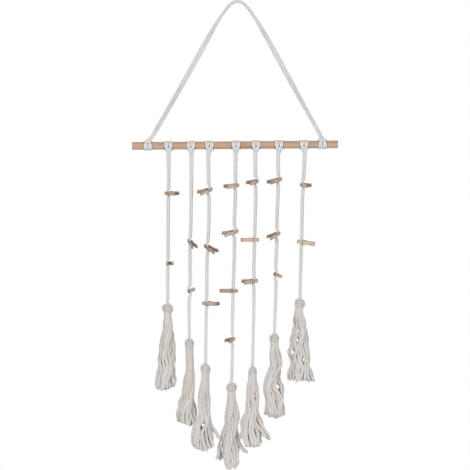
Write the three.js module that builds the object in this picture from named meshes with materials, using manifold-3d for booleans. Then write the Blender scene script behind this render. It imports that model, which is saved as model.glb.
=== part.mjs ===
// Macrame photo display: a wooden dowel on a hanging cord, seven cotton strings tied over the dowel,
// small wooden spring clips on the strings and a knotted tassel at the foot of each string.
// Millimetres, +Z up, the front faces -Y. The origin is where the hook carries the hanging cord.
import * as THREE from "three";
import { mergeVertices } from "three/addons/utils/BufferGeometryUtils.js";
import Module from "manifold-3d";

// The gap between pieces that touch, and the distance within which corners are one
const GAP = 0.3;
const SAME_CORNER = 1e-4;

// The dowel hangs a little lower at its left end
const DOWEL = { length: 400, radius: 7.5, chamfer: 0.8, sides: 20, x: -3.8, z: -276.2, tilt: 0.473 };

// Four cords lie in each string: its ridges and grooves, their twist in degrees a millimetre
const STRING = { ridge: 3.9, groove: 3.1, cords: 4, step: 36, twist: 0.8 };

// A knot on the dowel: two arms of two cords, set wide over the dowel and drawn together on one side,
// and the shoulders under the dowel where a string gathers out of its arms
const ARM = { width: 7, flat: 4.9, thick: 2.2, groove: 0.6, segments: 12, wide: 4.1, narrow: 2.6 };
const SHOULDERS = [
  { drop: 1.2, wide: 1.75 },
  { drop: 3.2, wide: 1.5 },
  { drop: 5.4, wide: 1.1 },
  { drop: 12, wide: 1 },
];

// The bar of two cords that ties such a knot: how far it reaches to each side, and its outline about
// the dowel, in degrees from the front towards the side where the arms draw together
const BAR = { half: 8.6, full: 7, end: 0.45 };
const BAR_OUTLINE = [
  { angle: 12, radius: 10.4 },
  { angle: 25, radius: 12.1 },
  { angle: 39, radius: 11.3 },
  { angle: 53, radius: 12.1 },
  { angle: 66, radius: 10.4 },
  { angle: 53, radius: 9.2 },
  { angle: 25, radius: 9.2 },
];

// The hanging cord from its left knot over the hook to its right knot, a flat band that turns on edge
const HANGER_KNOTS = { left: -172.6, right: 166.2 };
const HANGER_GROOVE = 0.8;
const HANGER_ROUTE = [
  { x: -171.2, z: -266.8, width: 9.5, depth: 6.5 },
  { x: -164.2, z: -258.5, width: 9.5, depth: 6.5 },
  { x: -155.4, z: -244.5, width: 9, depth: 6.5 },
  { x: -132.1, z: -204.1, width: 9.5, depth: 6 },
  { x: -92.4, z: -134.2, width: 10.5, depth: 5.5 },
  { x: -53.6, z: -64.3, width: 10, depth: 5.5 },
  { x: -33, z: -29.3, width: 6.5, depth: 7.5 },
  { x: -15.5, z: -6, width: 5.6, depth: 9 },
  { x: -7, z: 1.1, width: 5.4, depth: 9.5 },
  { x: 0, z: 2.7, width: 5.4, depth: 9.5 },
  { x: 8, z: 1.3, width: 5.4, depth: 9.5 },
  { x: 17.7, z: -6, width: 5.6, depth: 9 },
  { x: 35.1, z: -29.3, width: 6.5, depth: 7.5 },
  { x: 55.9, z: -64.3, width: 10, depth: 5.5 },
  { x: 94.4, z: -134.2, width: 10.5, depth: 5.5 },
  { x: 132.6, z: -204.1, width: 9, depth: 6 },
  { x: 155.5, z: -244.5, width: 8, depth: 6.5 },
  { x: 161.6, z: -256, width: 9, depth: 6.5 },
  { x: 165.4, z: -264.4, width: 9.5, depth: 6.5 },
];

// Each string: its place on the dowel, the height of its tassel's top and its drift to the left.
// Its tassel: its length, the slant of its ends, how far the ends lean back, and the widths and
// sideways shifts of its skirt at four stations below the neck.
const STRINGS = [
  { x: -132.8, foot: -582.8, drift: -1.5, length: 171, slant: -6, lean: 0,
    widths: [29, 33, 41, 43], shifts: [-2, 0, -3, -6] },
  { x: -89.1, foot: -650.8, drift: -3.4, length: 174, slant: 8, lean: 7,
    widths: [16.5, 27, 37, 40], shifts: [1.5, -2.5, -6, -6.5] },
  { x: -53.2, foot: -699.3, drift: -7.8, length: 171, slant: -5, lean: -7,
    widths: [23, 26, 35, 44], shifts: [-2, -1, -3, -4] },
  { x: -1.75, foot: -736.2, drift: -8.7, length: 170, slant: 4, lean: 6,
    widths: [27, 29, 31, 33], shifts: [0, -1, -2, -3.5] },
  { x: 37.1, foot: -705.1, drift: -6.8, length: 161, slant: -4, lean: -7,
    widths: [27, 32, 42, 42], shifts: [1, 0, 0, 1] },
  { x: 81.8, foot: -641.1, drift: -9, length: 165, slant: 3, lean: 4,
    widths: [31, 33, 41, 39], shifts: [1, -5, 0, 3] },
  { x: 130.3, foot: -573.1, drift: -7.8, length: 163, slant: -4, lean: -2,
    widths: [35, 39, 45, 52], shifts: [1, 0, 1, 4] },
];

// Tassels: a knot on top, a bound neck under it, then a skirt of loose strands
const KNOT_RINGS = [
  { drop: 0, radius: 4.2 },
  { drop: 2.2, radius: 8.2 },
  { drop: 6.5, radius: 10.6 },
  { drop: 11.5, radius: 9.6 },
  { drop: 15.5, radius: 7.8 },
  { drop: 24, radius: 7.5 },
  { drop: 31, radius: 7.9 },
];
const KNOT = { sides: 12, ridge: 0.7, depth: 0.95, neck: 15 };
const STRAND_CIRCLES = [
  { count: 4, radius: 0.36, turn: 0.4, isOuter: false },
  { count: 10, radius: 0.88, turn: 0, isOuter: true },
];
const STRAND = { thin: 1.6, full: 2.3, sides: 3, steps: 7, root: 27 };
const SKIRT = { depth: 0.95, uneven: 5, unevenX: 5, unevenY: 7 };
const WAVE = { width: 2.4, depth: 0.6, length: 72, lagX: 1.6, lagY: 2 };

// Loose ends of outer strands: the tassel, the strand's angle round it in degrees from its right, the
// share of its length where it leaves the skirt, how far it reaches out sideways and how far it lifts
const LOOSE_ENDS = [
  { tassel: 3, angle: 0, from: 0.6, out: 13, lift: 7 },
  { tassel: 4, angle: 0, from: 0.6, out: 18, lift: 22 },
  { tassel: 4, angle: 144, from: 0.5, out: -12, lift: 9 },
  { tassel: 4, angle: 180, from: 0.45, out: -15, lift: 13 },
  { tassel: 5, angle: 0, from: 0.6, out: 16, lift: 7 },
  { tassel: 5, angle: 324, from: 0.55, out: 20, lift: 18 },
  { tassel: 5, angle: 180, from: 0.6, out: -6, lift: 7 },
];
const HELD_END = { from: 0, out: 0, lift: 0 };

// Spring clips, along their length from the tip: where the cord lies, the notch for it, the spring's coil
const CLIP = { length: 35.2, width: 7, cordAt: 8.8, pivotAt: 17.6, gap: 0.5, corner: 0.8 };
const JAW = { tip: 2.7, crown: 4.1, crownFrom: 11, backFrom: 22, back: 4.5, end: 6.1, handleGap: 3.3 };
const NOTCH = { depth: 1.5, flat: 4.4, ramp: 5.6 };
const COIL = { radius: 2, seat: 2.4, steps: 4 };

// The cord between the jaws: how far it may lean from the coil's direction, and how it is pressed flat
const CORD_LEAN = 20;
const PINCH = { thick: 0.41, spread: 1.02, inside: 4.8, outside: 8.5 };

// Each clip: its string, its height, the side that its handle points to, then in degrees how far
// the handle hangs down, how far it comes forward and how far the front jaw is rolled down
const CLIPS = [
  { string: 1, z: -369.6, side: 1, droop: 2, forward: 48, roll: 8 },
  { string: 1, z: -505.5, side: 1, droop: 1, forward: 77, roll: 5 },
  { string: 2, z: -464.4, side: 1, droop: 22, forward: 67, roll: 12 },
  { string: 2, z: -559.5, side: 1, droop: -3, forward: -80, roll: -26 },
  { string: 3, z: -363.3, side: -1, droop: 14, forward: 43, roll: 30 },
  { string: 3, z: -474, side: 1, droop: 21, forward: 47, roll: 26 },
  { string: 3, z: -583.6, side: 1, droop: 1, forward: 30, roll: 6 },
  { string: 4, z: -354.6, side: -1, droop: 6, forward: 44, roll: 14 },
  { string: 4, z: -444.5, side: -1, droop: 11, forward: 36, roll: 32 },
  { string: 4, z: -559.1, side: -1, droop: 0, forward: 4, roll: 4 },
  { string: 4, z: -653.3, side: -1, droop: 4, forward: 68, roll: 12 },
  { string: 5, z: -346.6, side: -1, droop: 9, forward: 58, roll: 18 },
  { string: 5, z: -460, side: -1, droop: 1, forward: 10, roll: 5 },
  { string: 5, z: -540.1, side: -1, droop: 4, forward: 37, roll: 24 },
  { string: 6, z: -343.2, side: -1, droop: 13, forward: 44, roll: 14 },
  { string: 6, z: -448.8, side: -1, droop: 16, forward: 51, roll: 28 },
  { string: 6, z: -527.4, side: 1, droop: 6, forward: -73, roll: 22 },
  { string: 7, z: -353.4, side: 1, droop: 5, forward: 65, roll: 12 },
  { string: 7, z: -464.3, side: 1, droop: 9, forward: 4, roll: 10 },
];

const COTTON = { color: 0xe6e2dc, roughness: 0.95, metalness: 0 };
const DOWEL_WOOD = { color: 0xd3ab8c, roughness: 0.62, metalness: 0 };
const CLIP_WOOD = { color: 0xc2a68c, roughness: 0.7, metalness: 0 };

const X = new THREE.Vector3(1, 0, 0);
const UP = new THREE.Vector3(0, 0, 1);
const FRONT = new THREE.Vector3(0, -1, 0);

const wasm = await Module();
wasm.setup();

function radians(degrees) {
  return THREE.MathUtils.degToRad(degrees);
}

// Solids: closed geometries are joined as one body
function toSolid(geometry) {
  const bare = geometry.clone();
  bare.deleteAttribute("normal");
  bare.deleteAttribute("uv");
  const merged = mergeVertices(bare, SAME_CORNER);
  const vertProperties = merged.attributes.position.array;
  const triVerts = new Uint32Array(merged.index.array);
  return new wasm.Manifold(new wasm.Mesh({ numProp: 3, vertProperties, triVerts }));
}

function unite(geometries) {
  const solid = geometries.map(toSolid).reduce((whole, piece) => whole.add(piece));
  const mesh = solid.getMesh();
  const geometry = new THREE.BufferGeometry();
  geometry.setAttribute("position", new THREE.BufferAttribute(mesh.vertProperties, 3));
  geometry.setIndex(new THREE.BufferAttribute(mesh.triVerts, 1));
  geometry.computeVertexNormals();
  return geometry;
}

// A closed body through rings of points that run counter-clockwise about the way the rings follow
function loft(rings, looped = false) {
  const count = rings[0].length;
  const points = rings.flat();
  const index = [];
  const last = looped ? rings.length : rings.length - 1;
  for (let i = 0; i < last; i += 1) {
    const here = i * count;
    const next = ((i + 1) % rings.length) * count;
    for (let j = 0; j < count; j += 1) {
      const k = (j + 1) % count;
      index.push(here + j, here + k, next + k, here + j, next + k, next + j);
    }
  }
  if (!looped) {
    const end = (rings.length - 1) * count;
    const centres = [rings[0], rings.at(-1)].map((ring) => middle(ring));
    points.push(...centres);
    const startCentre = rings.length * count;
    for (let j = 0; j < count; j += 1) {
      const k = (j + 1) % count;
      index.push(startCentre, k, j, startCentre + 1, end + j, end + k);
    }
  }
  return new THREE.BufferGeometry().setFromPoints(points).setIndex(index);
}

function middle(ring) {
  const sum = ring.reduce((total, point) => total.add(point), new THREE.Vector3());
  return sum.divideScalar(ring.length);
}

// A flat outline of [across, out] pairs set at a point, its sides along the two given directions
function section(point, across, out, outline) {
  return outline.map(([a, b]) => point.clone().addScaledVector(across, a).addScaledVector(out, b));
}

// Interpolates a list of values given at even stations from 0 to 1
function between(values, t) {
  const place = THREE.MathUtils.clamp(t, 0, 1) * (values.length - 1);
  const index = Math.min(Math.floor(place), values.length - 2);
  return THREE.MathUtils.lerp(values[index], values[index + 1], place - index);
}

function dowelHeight(x) {
  return DOWEL.z + (x - DOWEL.x) * Math.tan(radians(DOWEL.tilt));
}

function named(name, geometry, finish) {
  const mesh = new THREE.Mesh(geometry, new THREE.MeshStandardMaterial(finish));
  mesh.name = name;
  return mesh;
}

// Dowel: a turned rod with its end edges broken
function makeDowel() {
  const half = DOWEL.length / 2;
  const inner = DOWEL.radius - DOWEL.chamfer;
  const profile = [
    new THREE.Vector2(0, -half),
    new THREE.Vector2(inner, -half),
    new THREE.Vector2(DOWEL.radius, -half + DOWEL.chamfer),
    new THREE.Vector2(DOWEL.radius, half - DOWEL.chamfer),
    new THREE.Vector2(inner, half),
    new THREE.Vector2(0, half),
  ];
  const mesh = named("dowel", new THREE.LatheGeometry(profile, DOWEL.sides), DOWEL_WOOD);
  mesh.position.set(DOWEL.x, 0, DOWEL.z);
  mesh.rotation.y = -radians(DOWEL.tilt);
  mesh.rotation.z = -Math.PI / 2;
  return mesh;
}

// A knot on the dowel: two arms, each of two cords, that spread over it and draw together on one side.
// The narrow side is under the dowel for a string (-1) and above it for the hanging cord (1).
function knotArms(x, narrowSide) {
  const half = ARM.width / 2;
  const rise = ARM.thick / 2;
  const outline = [
    [-half, 0], [-ARM.flat / 2, -rise], [ARM.flat / 2, -rise], [half, 0],
    [half / 2, rise], [0, rise - ARM.groove], [-half / 2, rise],
  ];
  const radius = (DOWEL.radius + GAP) / Math.cos(Math.PI / ARM.segments) + rise;
  const centre = new THREE.Vector3(x, 0, dowelHeight(x));
  return [-1, 1].map((hand) => {
    const rings = [];
    for (let i = 0; i < ARM.segments; i += 1) {
      const angle = (2 * Math.PI * i) / ARM.segments;
      const out = new THREE.Vector3(0, Math.cos(angle), Math.sin(angle));
      const drawn = Math.max(0, narrowSide * Math.sin(angle)) ** 3;
      const offset = THREE.MathUtils.lerp(ARM.wide, ARM.narrow, drawn);
      const point = centre.clone().addScaledVector(X, hand * offset).addScaledVector(out, radius);
      rings.push(section(point, X, out, outline));
    }
    return loft(rings, true);
  });
}

// The bar of a knot: it crosses the front of both arms beside their narrow side
function knotBar(x, narrowSide) {
  const towards = UP.clone().multiplyScalar(narrowSide);
  const outline = BAR_OUTLINE.map(({ angle, radius }) => [
    radius * Math.cos(radians(angle)),
    radius * Math.sin(radians(angle)),
  ]);
  const stations = [
    { reach: -BAR.half, size: BAR.end },
    { reach: -BAR.full, size: 1 },
    { reach: BAR.full, size: 1 },
    { reach: BAR.half, size: BAR.end },
  ];
  const rings = stations.map(({ reach, size }) => {
    const point = new THREE.Vector3(x - narrowSide * reach, 0, dowelHeight(x));
    const ring = section(point, FRONT, towards, outline);
    const centre = middle(ring);
    return ring.map((corner) => corner.lerp(centre, 1 - size));
  });
  return loft(rings);
}

// The flat band of the hanging cord has three ridges on its front and its back
function bandOutline(width, depth) {
  const side = width / 2;
  const cord = width / 3;
  const ridge = depth / 2;
  const groove = ridge - HANGER_GROOVE;
  const face = [[cord, ridge], [cord / 2, groove], [0, ridge], [-cord / 2, groove], [-cord, ridge]];
  const back = face.map(([a, b]) => [-a, -b]);
  return [[side, 0], ...face, [-side, 0], ...back];
}

function makeHanger() {
  const curve = new THREE.CatmullRomCurve3(HANGER_ROUTE.map(({ x, z }) => new THREE.Vector3(x, 0, z)));
  const rings = HANGER_ROUTE.map(({ width, depth }, i) => {
    const t = i / (HANGER_ROUTE.length - 1);
    const across = FRONT.clone().cross(curve.getTangent(t));
    return section(curve.getPoint(t), across, FRONT, bandOutline(width, depth));
  });
  const knots = Object.values(HANGER_KNOTS).flatMap((x) => [...knotArms(x, 1), knotBar(x, 1)]);
  return named("hanger", unite([loft(rings), ...knots]), COTTON);
}

// The clip's directions: along its handle, out of its front jaw and along its spring's coil
function clipAxes({ side, droop, forward, roll }) {
  const down = radians(droop);
  const ahead = radians(forward);
  const along = new THREE.Vector3(
    side * Math.cos(down) * Math.cos(ahead),
    -Math.cos(down) * Math.sin(ahead),
    -Math.sin(down),
  );
  const level = new THREE.Vector3(-side * Math.sin(ahead), -Math.cos(ahead), 0);
  const under = along.clone().cross(level).multiplyScalar(side);
  const out = level.multiplyScalar(Math.cos(radians(roll))).addScaledVector(under, Math.sin(radians(roll)));
  const coil = along.clone().cross(out);
  return { along, out, coil };
}

// The way up of the cord between the jaws: as upright as the jaws and their notch let it be
function cordDirection({ along, out, coil }) {
  const upright = UP.clone().addScaledVector(out, -UP.dot(out));
  const rise = coil.clone().multiplyScalar(Math.sign(upright.dot(coil)));
  const limit = radians(CORD_LEAN);
  const lean = THREE.MathUtils.clamp(Math.atan2(upright.dot(along), upright.dot(rise)), -limit, limit);
  return rise.multiplyScalar(Math.cos(lean)).addScaledVector(along, Math.sin(lean));
}

function stringX(row, z) {
  const top = dowelHeight(row.x);
  return row.x + (row.drift * (top - z)) / (top - row.foot);
}

function cordPoint(clip) {
  return new THREE.Vector3(stringX(STRINGS[clip.string - 1], clip.z), 0, clip.z);
}

// The string's stations from the dowel down: full ones, and flattened ones between a clip's jaws
function stringStations(row, clips) {
  const top = dowelHeight(row.x) - DOWEL.radius;
  const at = (z) => new THREE.Vector3(stringX(row, z), 0, z);
  const stations = SHOULDERS.map(({ drop, wide }) => ({ point: at(top - drop), wide }));
  clips.forEach((clip) => {
    const axes = clipAxes(clip);
    const upward = cordDirection(axes);
    const held = { wide: 1, pressed: axes.out, tangent: upward.clone().negate() };
    const reaches = [PINCH.outside, PINCH.inside, -PINCH.inside, -PINCH.outside];
    reaches.forEach((reach) => {
      if (Math.abs(reach) === PINCH.inside) {
        stations.push({ ...held, point: cordPoint(clip).addScaledVector(upward, reach) });
      } else {
        stations.push({ point: at(clip.z + reach / upward.z), wide: 1 });
      }
    });
  });
  stations.push({ point: at(row.foot + GAP), wide: 1 });
  return stations;
}

// Fills long free stretches of a string with more stations along the same smooth curve
function fillStations(stations) {
  const curve = new THREE.CatmullRomCurve3(stations.map(({ point }) => point));
  const spans = stations.length - 1;
  const filled = [];
  stations.forEach((station, i) => {
    filled.push({ tangent: curve.getTangent(i / spans), ...station });
    if (i === spans) return;
    const span = station.point.distanceTo(stations[i + 1].point);
    const pieces = Math.ceil(span / STRING.step);
    for (let k = 1; k < pieces; k += 1) {
      const t = (i + k / pieces) / spans;
      filled.push({ point: curve.getPoint(t), tangent: curve.getTangent(t), wide: 1 });
    }
  });
  return filled;
}

// Four ridges that wind slowly down the string, flattened where a clip presses them
function stringRing({ point, tangent, wide, pressed }, top) {
  const across = X.clone().addScaledVector(tangent, -X.dot(tangent)).normalize();
  const out = tangent.clone().cross(across);
  const turn = radians(STRING.twist * (top - point.z));
  const ring = [];
  for (let k = 0; k < 2 * STRING.cords; k += 1) {
    const radius = k % 2 ? STRING.groove : STRING.ridge;
    const angle = turn + (k * Math.PI) / STRING.cords;
    const offset = across.clone().multiplyScalar(wide * radius * Math.cos(angle));
    offset.addScaledVector(out, radius * Math.sin(angle));
    if (pressed) {
      const height = offset.dot(pressed);
      offset.multiplyScalar(PINCH.spread).addScaledVector(pressed, (PINCH.thick - PINCH.spread) * height);
    }
    ring.push(point.clone().add(offset));
  }
  return ring;
}

function makeString(row, number) {
  const clips = CLIPS.filter((clip) => clip.string === number);
  const top = dowelHeight(row.x);
  const rings = fillStations(stringStations(row, clips)).map((station) => stringRing(station, top));
  const knot = [...knotArms(row.x, -1), knotBar(row.x, -1)];
  return named(`string_${number}`, unite([loft(rings), ...knot]), COTTON);
}

// The knot and neck of a tassel: a ridged knob that is a little flatter from front to back
function tasselKnot(x, foot) {
  const rings = KNOT_RINGS.map(({ drop, radius }) => {
    const ring = [];
    for (let k = 0; k < KNOT.sides; k += 1) {
      const angle = (-2 * Math.PI * k) / KNOT.sides;
      const size = radius - (k % 2 ? KNOT.ridge : 0);
      const depth = KNOT.depth * size * Math.sin(angle);
      ring.push(new THREE.Vector3(x + size * Math.cos(angle), depth, foot - drop));
    }
    return ring;
  });
  return loft(rings);
}

// One loose strand: it keeps its place in the bundle while the skirt widens, sways and waves
function strandStations(row, x, place, number) {
  const spread = SKIRT.unevenX * place.x + SKIRT.unevenY * place.y + number;
  const trim = SKIRT.uneven * Math.abs(Math.sin(spread));
  const length = row.length - STRAND.root + row.slant * place.x - trim;
  const { from, out, lift } = place.end;
  const stations = [];
  for (let i = 0; i <= STRAND.steps; i += 1) {
    const t = i / STRAND.steps;
    const width = between([KNOT.neck, ...row.widths], t);
    const radius = Math.min(STRAND.full, (STRAND.thin * width) / KNOT.neck);
    const half = width / 2 - radius;
    const lag = WAVE.lagX * place.x + WAVE.lagY * place.y + number;
    const phase = (2 * Math.PI * t * length) / WAVE.length + lag;
    const wave = WAVE.width * Math.min(1, width / KNOT.neck - 1);
    const bend = Math.max(0, (t - from) / (1 - from)) ** 2;
    const point = new THREE.Vector3(
      x + between([0, ...row.shifts], t) + half * place.x + wave * Math.sin(phase) + out * bend,
      row.lean * t + SKIRT.depth * half * place.y + WAVE.depth * wave * Math.cos(phase),
      row.foot - STRAND.root - length * t + lift * bend,
    );
    stations.push({ point, radius });
  }
  return stations;
}

function strandBody(stations) {
  const last = stations.length - 1;
  const rings = stations.map(({ point, radius }, i) => {
    const before = stations[Math.max(0, i - 1)].point;
    const after = stations[Math.min(last, i + 1)].point;
    const tangent = after.clone().sub(before).normalize();
    const across = FRONT.clone().cross(tangent).normalize();
    const back = across.clone().cross(tangent);
    const ring = [];
    for (let k = 0; k < STRAND.sides; k += 1) {
      const angle = (-2 * Math.PI * k) / STRAND.sides;
      const offset = across.clone().multiplyScalar(radius * Math.cos(angle));
      offset.addScaledVector(back, radius * Math.sin(angle));
      ring.push(point.clone().add(offset));
    }
    return ring;
  });
  return loft(rings);
}

function looseEnd(number, angle) {
  return LOOSE_ENDS.find((end) => end.tassel === number && end.angle === angle) ?? HELD_END;
}

function makeTassel(row, number) {
  const x = row.x + row.drift;
  const strands = STRAND_CIRCLES.flatMap(({ count, radius, turn, isOuter }) =>
    Array.from({ length: count }, (_, k) => {
      const angle = turn + (2 * Math.PI * k) / count;
      const end = isOuter ? looseEnd(number, (360 * k) / count) : HELD_END;
      const place = { x: radius * Math.cos(angle), y: radius * Math.sin(angle), end };
      return strandBody(strandStations(row, x, place, number));
    }),
  );
  return named(`tassel_${number}`, unite([tasselKnot(x, row.foot), ...strands]), COTTON);
}

// A jaw's outline from its tip: the notch for the cord, the seat of the coil, the handle, the outer face.
// The back jaw carries the coil itself, which turns in the front jaw's seat.
function jawShape(hasCoil) {
  const { length, cordAt, pivotAt, gap, corner } = CLIP;
  const floor = gap + NOTCH.depth;
  const radius = hasCoil ? COIL.radius : COIL.seat;
  const edge = Math.asin(gap / radius);
  const from = Math.PI - edge;
  const to = hasCoil ? 2 * Math.PI + edge : edge;
  const shape = new THREE.Shape();
  shape.moveTo(corner, gap);
  shape.lineTo(cordAt - NOTCH.ramp, gap);
  shape.lineTo(cordAt - NOTCH.flat, floor);
  shape.lineTo(cordAt + NOTCH.flat, floor);
  shape.lineTo(cordAt + NOTCH.ramp, gap);
  for (let i = 0; i <= COIL.steps; i += 1) {
    const angle = THREE.MathUtils.lerp(from, to, i / COIL.steps);
    shape.lineTo(pivotAt + radius * Math.cos(angle), radius * Math.sin(angle));
  }
  shape.lineTo(length - corner, JAW.handleGap);
  shape.lineTo(length, JAW.handleGap + corner);
  shape.lineTo(length - corner, JAW.end);
  shape.lineTo(JAW.backFrom, JAW.back);
  shape.lineTo(JAW.crownFrom, JAW.crown);
  shape.lineTo(corner, JAW.tip);
  shape.lineTo(0, JAW.tip - corner);
  shape.closePath();
  return shape;
}

function makeJaw(name, front) {
  const flat = new THREE.ExtrudeGeometry(jawShape(!front), { depth: CLIP.width, bevelEnabled: false });
  flat.translate(-CLIP.cordAt, 0, -CLIP.width / 2);
  const jaw = named(name, flat, CLIP_WOOD);
  if (!front) jaw.rotation.x = Math.PI;
  return jaw;
}

function makeClip(clip, number) {
  const { along, out, coil } = clipAxes(clip);
  const name = `clip_${String(number).padStart(2, "0")}`;
  const group = new THREE.Group();
  group.position.copy(cordPoint(clip));
  group.quaternion.setFromRotationMatrix(new THREE.Matrix4().makeBasis(along, out, coil));
  group.add(makeJaw(`${name}_back`, false), makeJaw(`${name}_front`, true));
  return group;
}

const display = new THREE.Group();
display.add(makeDowel(), makeHanger());
STRINGS.forEach((row, i) => display.add(makeString(row, i + 1), makeTassel(row, i + 1)));
CLIPS.forEach((clip, i) => display.add(makeClip(clip, i + 1)));

export default display;
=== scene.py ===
"""Looks of a macrame photo display: cotton cords, knots and tassels, a wooden dowel and spring clips.

Sizes are in millimetres, as in the tables of the solids, and become metres where a mesh is made.
+Z is up, the front faces -Y, and the origin is where the hook carries the hanging cord.
"""
import math

import bpy
import numpy as np
from mathutils import Matrix, Vector


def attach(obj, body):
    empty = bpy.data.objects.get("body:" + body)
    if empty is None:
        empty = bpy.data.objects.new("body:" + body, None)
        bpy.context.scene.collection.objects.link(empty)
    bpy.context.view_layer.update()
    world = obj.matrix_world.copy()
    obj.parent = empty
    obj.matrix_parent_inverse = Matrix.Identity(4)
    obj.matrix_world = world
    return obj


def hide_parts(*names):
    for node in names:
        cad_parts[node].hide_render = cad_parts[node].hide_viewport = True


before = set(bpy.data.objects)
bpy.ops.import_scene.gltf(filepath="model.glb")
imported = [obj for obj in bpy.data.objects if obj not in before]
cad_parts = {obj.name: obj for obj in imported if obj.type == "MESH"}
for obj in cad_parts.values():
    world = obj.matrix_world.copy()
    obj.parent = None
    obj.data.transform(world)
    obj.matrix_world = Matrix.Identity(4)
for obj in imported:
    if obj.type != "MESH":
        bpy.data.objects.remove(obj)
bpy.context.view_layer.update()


def table(columns, rows):
    """Rows of values as dictionaries, with the names of the columns as their keys."""
    return [dict(zip(columns.split(), row)) for row in rows]


MM = 0.001
BODY = "hanging"
SEED = 11

# The photograph's frame: the height that it spans and the point at its centre
VIEW = {"span": 912.7, "x": -3.7, "z": -450.7, "distance": 4000.0, "sensor": 36.0}

# Wooden dowel, a little lower at its left end
DOWEL = {"length": 400.0, "radius": 7.5, "edge": 1.0, "x": -3.8, "z": -276.2, "tilt": 0.473, "tone": 0.6}
DOWEL_MESH = {"sides": 72, "rings": 40, "edge_rings": 6, "sharp": 40.0}

# Painted shadow on the wood under and beside a knot, where the knot shades the dowel: its tone at two
# distances from the knot's middle
KNOT_SHADOW_ON_DOWEL = {"reach": (6.5, 10.0), "tone": (0.3, 1.0)}

# Cotton cord of three twisted plies
CORD = {"thick": 3.4, "plies": 3, "pitch": 9.0, "groove": 0.09, "sides": 9, "step": 0.9}

# The four cords of a string: how far the front and back pairs stand from its middle, sideways and in
# depth, at the top and where they have gathered, and how they twist on the way
BUNDLE = {"front": (1.65, 1.4), "back": (2.5, 1.4), "deep": (1.3, 1.35), "gathers": 150.0, "twist": 0.25}
BUNDLE_ENDS = {"below_dowel": 20.0, "into_knot": 5.0, "step": 5.0}

# A knot on the dowel: its cords rise in front, go over the dowel, come back under it and make a bar
# across the front, flattened where they are near it. For each cord, one half of it: its tail, its places
# round the dowel as pairs of degrees and distance from the knot's middle, and its part of the bar.
WRAP = {"radius": 8.45, "flat": 0.5, "spread": 0.2, "near": 11.0, "far": 14.0}
INNER_CORD = {
    "tail": [(1.65, -1.3, -20.0), (1.7, -2.5, -15.0), (1.75, -4.8, -11.6)],
    "wrap": [
        (230, 2.0), (214, 2.8), (196, 2.7), (172, 2.2), (150, 2.1),
        (90, 2.1), (40, 2.5), (-20, 3.4), (-80, 4.6),
    ],
    "bar": [(5.2, -2.4, -9.6), (4.9, -4.6, -9.5), (3.4, -6.0, -9.0), (0.0, -6.3, -8.8)],
}
OUTER_CORD = {
    "tail": [(2.5, 1.3, -20.0), (2.6, 0.3, -15.0), (3.5, -2.6, -11.2)],
    "wrap": [(222, 4.6), (195, 5.8), (150, 6.0), (90, 6.0), (40, 6.2), (0, 6.4), (-40, 6.6), (-80, 6.6)],
    "bar": [
        (6.2, -2.6, -9.0), (6.0, -5.6, -8.4), (5.0, -7.9, -7.0), (2.8, -8.7, -6.2), (0.0, -8.8, -6.0),
    ],
}

# How far each string's tails lean to the right for each millimetre past the start of the lean
LEAN_FROM = 8.0
STRING_LEANS = (0.0, 0.08, -0.2, -0.08, -0.12, -0.17, 0.12)

# The hanging cord: its knots, how near its strands come to its middle, and its way from the left knot
# over the hook to the right knot, with its width and depth
HANGER_KNOTS = table("x lean", [(-172.6, 0.78), (166.2, -0.44)])
HANGER_PACK = {"across": 1.4, "depth": 1.65}
HANGER_ROUTE = table("x z width depth", [
    (-155.4, -244.5, 9.0, 6.5),
    (-132.1, -204.1, 9.5, 6.0),
    (-92.4, -134.2, 10.5, 5.5),
    (-53.6, -64.3, 10.0, 5.5),
    (-33.0, -29.3, 6.5, 7.5),
    (-15.5, -6.0, 5.6, 9.0),
    (-7.0, 1.1, 5.4, 9.5),
    (0.0, 2.7, 5.4, 9.5),
    (8.0, 1.3, 5.4, 9.5),
    (17.7, -6.0, 5.6, 9.0),
    (35.1, -29.3, 6.5, 7.5),
    (55.9, -64.3, 10.0, 5.5),
    (94.4, -134.2, 10.5, 5.5),
    (132.6, -204.1, 9.0, 6.0),
    (155.5, -244.5, 8.0, 6.5),
])

# Strings and their tassels, from left to right: where the string is tied and where its tassel starts,
# how far the string drifts sideways, the tassel's length, how much longer its right side is than its
# middle and how much shorter both sides are, how far it leans back, and its widths and sideways shifts
# on the way down
STRINGS = table("x foot drift length slant rise lean widths shifts", [
    (-132.8, -582.8, -1.5, 171, -3, 9, 0, (15.5, 27, 31, 39, 40), (0, 0, -1, -2.5, -4)),
    (-89.1, -650.8, -3.4, 170, 5, 2, 7, (16.5, 15.8, 24.5, 34, 38), (0, 1.5, -1.5, -4.5, -5.5)),
    (-53.2, -699.3, -7.8, 170, -2, 9, -7, (16.5, 21, 25, 38, 44), (0, -3, -1.5, -6, -4)),
    (-1.75, -736.2, -8.7, 171, -1, 8, 6, (15, 25, 34, 33, 34), (0, 1.5, -2, -2, -1)),
    (37.1, -705.1, -6.8, 158, 0, 5, -7, (16.5, 25, 29, 38, 41), (0, 0, -1, -2, 0)),
    (81.8, -641.1, -9, 166, 1, 7, 4, (16.8, 29, 31, 40, 44), (0, 3, -4.5, -1, 2)),
    (130.3, -573.1, -7.8, 162, 2, 0, -2, (17, 34, 36, 43, 56), (-2.5, 0, -1, -0.5, 2)),
])

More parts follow.
